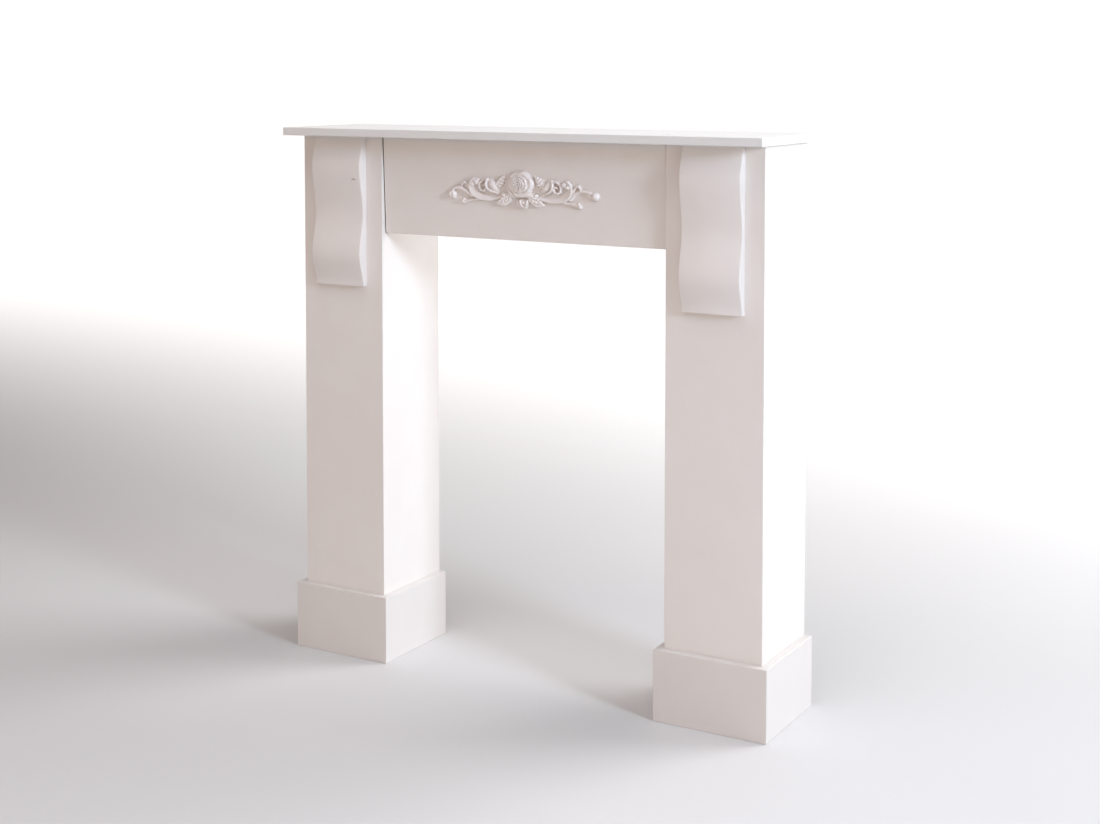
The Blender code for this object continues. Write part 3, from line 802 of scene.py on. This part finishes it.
# %% Sprays
def spray(u, v, side):
    """What grows out on one side of the rose: leaves, a curled petal, the scroll, its tail and its branch."""
    u = u * side
    forms = [
        leaf(u, v, (50, 2), (31, 27), 17, 5.5, 5),
        leaf(u, v, (13, -7), (48, -24), 18, 7.0, 5),
        strand(u, v, [(19, -17), (33, -25.5), (47, -24)], [5, 7, 5], [6, 6.5, 6]),
        oval(u, v, (33, -8.5), (5, 4.5), 0, 7.5),
        oval(u, v, (55, 6.5), (17, 10.5), 50, 8.5, edge=2),
        strand(
            u, v, [(66, 17), (75, 17), (83, 11), (83, 2), (76, -2.5), (70, 2), (72, 8), (77, 7)],
            [6, 6, 6, 5, 5, 4], [6, 7, 7.5, 8],
        ),
        strand(u, v, [(67, 19), (68.5, 10), (65, 2), (57, -3), (47, -6)], [4, 4.5, 5, 5, 3], [8, 10, 9, 6]),
        strand(
            u, v, [(39, -12.5), (62, -16), (84, -13.5), (96, -6), (100.5, 2), (101.5, 10), (97, 17)],
            [6, 10, 14, 17, 15, 10, 7], [6, 6.5, 7.5, 8, 8.5], hollow=0.72, edge=5,
        ),
        oval(u, v, (90.5, 13), (7, 6.5), 60, 8.5),
        oval(u, v, (98.5, 9), (5.5, 5.5), 0, 9.0),
        strand(u, v, [(88, -19), (104, -20), (120, -24)], [5, 6, 9], [5, 4.5, 5.5], hollow=0.3),
        strand(u, v, [(118, -18.5), (122, -26)], [4, 3.5], [6, 5.5]),
        strand(u, v, [(106, -3), (111, 8), (118, 11), (123, 5)], [5, 6, 6, 4], [4.5, 5.5, 5]),
    ]
    if side < 0:
        forms += [
            strand(u, v, [(101, -13), (115, -4), (128, 1), (138, 0), (143, -6)], [7, 8, 7, 6], [5, 6, 5.5]),
            oval(u, v, (143.5, -11.5), (8.5, 8), 0, 6.0),
            oval(u, v, (139.5, -12), (7.8, 4.3), 80, 7.5),
            oval(u, v, (146.5, -11.5), (7.8, 4.3), 100, 7.5),
        ]
    else:
        forms += [
            strand(u, v, [(101, -13), (112, -2), (126, 3), (138, 1), (146, -2)], [7, 7, 6, 6], [5, 5, 4.5]),
            oval(u, v, (150.5, -5.5), (8.7, 8.3), -20, 7.5),
            strand(u, v, [(138, 1), (141, -7), (149, -11)], [4, 5, 4], [4, 5.5, 5]),
        ]
    return np.maximum.reduce(forms)


on_leaf = spray(np.array([35.0]), np.array([20.0]), 1)
print("the upper leaf beside the rose is", round(float(on_leaf[0]), 1), "mm high")


# %% Hanging bud and the whole relief
def hanging_bud(u, v):
    """The bud under the rose, pointing down: two folded petals that meet in a V over a rounded heart."""
    forms = [
        oval(u, v, (6.5, -23), (12.5, 10.5), 0, 6.5),
        oval(u, v, (8.5, -21.5), (6, 6), 0, 8.0),
        strand(u, v, [(1.5, -17), (3.5, -24), (9, -30)], [6, 6, 4], [8, 9.5, 8]),
        strand(u, v, [(16, -17), (14.5, -24), (9, -30)], [6, 6.5, 4], [8, 9.5, 8]),
        strand(u, v, [(-3, -18), (-3, -24), (2, -29)], [5, 6, 4], [7, 8, 6.5]),
    ]
    return np.maximum.reduce(forms)


def relief(u, v):
    """The ornament's height over its sheet: above nothing on it, below nothing around it."""
    roll = strand(u, v, [(-7, -8), (8, -8), (21, -7.5), (30, -12)], [10, 11, 10, 6], [10, 11, 10, 7])
    fold = strand(u, v, [(-24, 3), (-18, -5), (-11, -12)], [8, 9, 7], [8, 9, 8.5], hollow=0.3)
    forms = [rose(u, v), roll, fold, hanging_bud(u, v), spray(u, v, -1), spray(u, v, 1)]
    return np.maximum(np.maximum.reduce(forms), GROUND)


in_the_middle = relief(np.zeros(1), np.zeros(1))
print("the relief is", round(float(in_the_middle[0]), 1), "mm high in its middle")

# %% [markdown]
# A height sheet becomes a solid in four moves: lay triangles over the places that stand above the ground,
# cut them off level with it, keep what hangs together, and close the back with a flat twin of the front.

# %% Closed casting
def largest_island(shape):
    """Deletes all but the biggest connected part of a bmesh."""
    left = set(shape.verts)
    islands = []
    while left:
        front = [left.pop()]
        island = set(front)
        while front:
            near = {edge.other_vert(vertex) for vertex in front for edge in vertex.link_edges}
            front = list(near & left)
            left -= near
            island |= near
        islands.append(island)
    keep = max(islands, key=len)
    bmesh.ops.delete(shape, geom=[vertex for vertex in shape.verts if vertex not in keep], context="VERTS")


def relief_shape(u, v, height):
    """The sheet as a closed solid with a flat back."""
    height = np.where(np.abs(height) < NEAR_GROUND, NEAR_GROUND, height)
    shape = bmesh.new()
    points = [
        [shape.verts.new(point) for point in zip(row_u, row_v, row_height)]
        for row_u, row_v, row_height in zip(u, v, height)
    ]
    above = np.maximum.reduce([height[:-1, :-1], height[:-1, 1:], height[1:, 1:], height[1:, :-1]]) > 0
    for row, column in zip(*np.nonzero(above)):
        low, high = points[row], points[row + 1]
        corners = (low[column], low[column + 1], high[column + 1], high[column])
        shape.faces.new(corners[:3])
        shape.faces.new((corners[0], *corners[2:]))
    everything = shape.verts[:] + shape.edges[:] + shape.faces[:]
    bmesh.ops.bisect_plane(shape, geom=everything, plane_co=(0, 0, 0), plane_no=(0, 0, 1), clear_inner=True)
    largest_island(shape)
    twins = {}
    for vertex in shape.verts[:]:
        twins[vertex] = vertex if vertex.is_boundary else shape.verts.new((*vertex.co.xy, 0))
    for face in shape.faces[:]:
        shape.faces.new([twins[vertex] for vertex in reversed(face.verts)])
    return shape


reach = DRAWN_WIDTH / 2 + SHEET_MARGIN
sheet_u, sheet_v = np.meshgrid(
    np.arange(-reach, reach, RELIEF_PITCH), np.arange(SHEET_LOW, SHEET_HIGH, RELIEF_PITCH)
)
sheet_height = relief(sheet_u, sheet_v)
casting_shape = relief_shape(sheet_u, sheet_v, sheet_height)
print("casting:", len(casting_shape.faces), "triangles, highest", round(sheet_height.max(), 1), "mm")

# %% [markdown]
# ## Paint on the casting
#
# The casting's hollows get painted shade. Each point gets a number for how sheltered it is: how far it
# lies below the average height round it. Blender's pointiness sees only the nearest edges, while this
# average sees a whole hollow. The number is kept as an attribute of the mesh. With it the paint turns
# duller, and darker and warmer as painted shade.

# %% How sheltered each point is
SHELTER = "shelter"
SHELTER_REACH = 4
SHELTER_DEPTH = 3.2
SHELTER_BASE = 0.1


def softened(field, cells):
    """Averages a field over a square of cells, by shifting and adding."""
    for axis in (0, 1):
        shifted = [np.roll(field, shift, axis) for shift in range(-cells, cells + 1)]
        field = sum(shifted) / len(shifted)
    return field


raised = np.maximum(sheet_height, 0)
sheltered = np.clip((softened(raised, SHELTER_REACH) - raised) / SHELTER_DEPTH + SHELTER_BASE, 0, 1)
print("mean shelter on the casting:", round(float(sheltered[sheet_height > 0].mean()), 2))

# %% Casting paint
CASTING_WHITES = ((0.825, 0.775, 0.750), (0.800, 0.742, 0.712))
CASTING_LINES = (300, 60, 300)
# The tone, range and share of the painted shade in the casting's hollows.
HOLLOW_SHADE_TONE = (0.52, 0.40, 0.34)
HOLLOW_SHADE_FROM = (0.08, 0.9)
HOLLOW_SHADE_SHARE = 0.33
POOLED_DULLER = 0.2

casting_mix = Paint("satin_paint_casting")
open_white, casting_roughness, casting_height = satin_coat(casting_mix, *CASTING_WHITES, CASTING_LINES)
shelter = casting_mix.node("ShaderNodeAttribute", {"attribute_name": SHELTER}, {}, "Fac")
# Painted shade: the hollows are mixed towards a darker, warmer tone.
shaded_white = casting_mix.mix(shelter.between(*HOLLOW_SHADE_FROM) * HOLLOW_SHADE_SHARE, open_white, HOLLOW_SHADE_TONE)
casting_roughness = casting_roughness + POOLED_DULLER * shelter
casting_paint = casting_mix.finish(shaded_white, casting_roughness, casting_height, COAT_BUMP)
print("casting paint reads the attribute", SHELTER)

# %% Casting piece
CONTACT_GAP = 0.0003
ORNAMENT_OFFSET = 0.0045
MILLIMETRE = 0.001
CREASE_ABOVE = math.radians(70)

mesh = bpy.data.meshes.new("carved_rose_applique")
casting_shape.to_mesh(mesh)
casting_shape.free()
values = []
for vertex in mesh.vertices:
    column = round((vertex.co.x + reach) / RELIEF_PITCH)
    row = round((vertex.co.y - SHEET_LOW) / RELIEF_PITCH)
    values.append(sheltered[min(row, sheltered.shape[0] - 1), min(column, sheltered.shape[1] - 1)])
mesh.attributes.new(SHELTER, "FLOAT", "POINT").data.foreach_set("value", values)
ornament_back = FRONT_FACE + FRIEZE_RECESS_TOP + FRIEZE_LEAN / 2 - CONTACT_GAP
middle = (ORNAMENT_OFFSET, ornament_back, SHELF_UNDERSIDE - FRIEZE_HEIGHT / 2)
lean = math.atan2(FRIEZE_LEAN, FRIEZE_HEIGHT)
on_frieze = Matrix.Translation(middle) @ Matrix.Rotation(math.pi / 2 + lean, 4, "X")
mesh.transform(on_frieze @ Matrix.Scale(MILLIMETRE, 4))
mesh.materials.append(casting_paint)
mesh.shade_smooth()
mesh.set_sharp_from_angle(angle=CREASE_ABOVE)
casting = bpy.data.objects.new("carved_rose_applique", mesh)
bpy.context.scene.collection.objects.link(casting)
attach(casting, "root")
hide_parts("rose_applique")
print(casting.name, len(mesh.polygons), "triangles")

# %% [markdown]
# ## Floor and light
#
# The light is what a white piece gets in a bright studio. A big soft lamp stands high behind it on the
# right and makes the shelf's top shine, and a second one below that reaches in under the shelf. A small
# cool lamp low on the right grazes the fronts, so that the swells of the corbels show. A wide ceiling lamp
# and a weak one in front fill the rest. The haze is white behind, and warm in front, which gives the shade
# under the shelf its tan. The floor glows only behind the piece, so that the horizon disappears and the
# fronts keep their shade.

# %% Floor
FLOOR_HALF = 30
FLOOR_DROP = 0.0005
FLOOR_TONES = ((0.67, 0.65, 0.64), (0.65, 0.63, 0.62))
FLOOR_ROUGHNESS = 0.85
FLOOR_DRIFT_WAVES = 0.6
FLOOR_GRAIN_WAVES = 90
FADE = (0.2, 4.0)
FAR_GLOW = (0.98, 0.96, 0.95)
corners = [(x * FLOOR_HALF, y * FLOOR_HALF, 0) for x, y in ((-1, -1), (1, -1), (1, 1), (-1, 1))]
floor_mesh = bpy.data.meshes.new("studio_floor")
floor_mesh.from_pydata(corners, [], [(0, 1, 2, 3)])
floor = bpy.data.objects.new("studio_floor", floor_mesh)
floor.location = (0, 0, -FLOOR_DROP)
bpy.context.scene.collection.objects.link(floor)
floor_mix = Paint("pale_floor")
floor_tone = floor_mix.mix(floor_mix.noise(FLOOR_DRIFT_WAVES), *FLOOR_TONES)
floor_grain = floor_mix.noise(FLOOR_GRAIN_WAVES)
far_away = floor_mix.mix(floor_mix.depth.between(*FADE), (0, 0, 0), FAR_GLOW)
floor_mix.set_input(floor_mix.shader, "Emission Color", far_away)
floor_mix.shader.inputs["Emission Strength"].default_value = 1
floor_mesh.materials.append(floor_mix.finish(floor_tone, FLOOR_ROUGHNESS, floor_grain, GRAIN_BUMP))
print("floor:", 2 * FLOOR_HALF, "m square")

# %% Lamps
LAMP_TARGET = Vector((0, 0, 0.6))


def add_lamp(name, place, size, watts, colour):
    """A square soft lamp at a place, which shines at the middle of the mantelpiece."""
    data = bpy.data.lights.new(name, "AREA")
    data.size = size
    data.energy = watts
    data.color = colour
    lamp = bpy.data.objects.new(name, data)
    lamp.location = place
    lamp.rotation_euler = (LAMP_TARGET - lamp.location).to_track_quat("-Z", "Y").to_euler()
    bpy.context.scene.collection.objects.link(lamp)


add_lamp("window_lamp", (2.2, 2.2, 4.2), 2.4, 84, (0.98, 0.98, 1.0))
add_lamp("side_lamp", (4.2, -1.3, 1.9), 0.8, 118, (0.68, 0.83, 1.0))
add_lamp("ceiling_lamp", (0, -0.5, 4), 3, 85, (1.0, 0.97, 0.95))
add_lamp("back_lamp", (3.0, 2.5, 2.8), 2.4, 70, (0.88, 0.94, 1.0))
add_lamp("front_lamp", (0.6, -3.2, 3.6), 2.4, 30, (0.92, 0.86, 1.0))
print("lamps:", [light.name for light in bpy.data.lights])

# %% Sky
HAZE = 1.25
HAZE_TOP = (0.15, 0.4)
HAZE_TURN = (0, 0.5)
FRONT_HAZE = (0.96, 0.77, 0.61, 1)
BACK_HAZE = (0.93, 0.9, 0.89, 1)
sky = bpy.data.worlds.new("hazy_sky")
sky.use_nodes = True
sky_builder = Builder(sky.node_tree)
way = sky_builder.node("ShaderNodeTexCoord", {}, {}, "Generated")
upward = sky_builder.node("ShaderNodeSeparateXYZ", {}, {0: way}, "Z")
backward = sky_builder.node("ShaderNodeSeparateXYZ", {}, {0: way}, "Y")
haze_ends = {"Factor_Float": backward.between(*HAZE_TURN), "A_Color": FRONT_HAZE, "B_Color": BACK_HAZE}
haze = sky_builder.node("ShaderNodeMix", {"data_type": "RGBA"}, haze_ends, "Result_Color")
background = sky.node_tree.nodes["Background"]
sky_builder.set_input(background, "Color", haze)
sky_builder.set_input(background, "Strength", HAZE * (1 - upward.between(*HAZE_TOP)))
bpy.context.scene.world = sky
bpy.context.scene.view_settings.view_transform = "Standard"
print("haze in front:", FRONT_HAZE[:3], "and behind:", BACK_HAZE[:3])
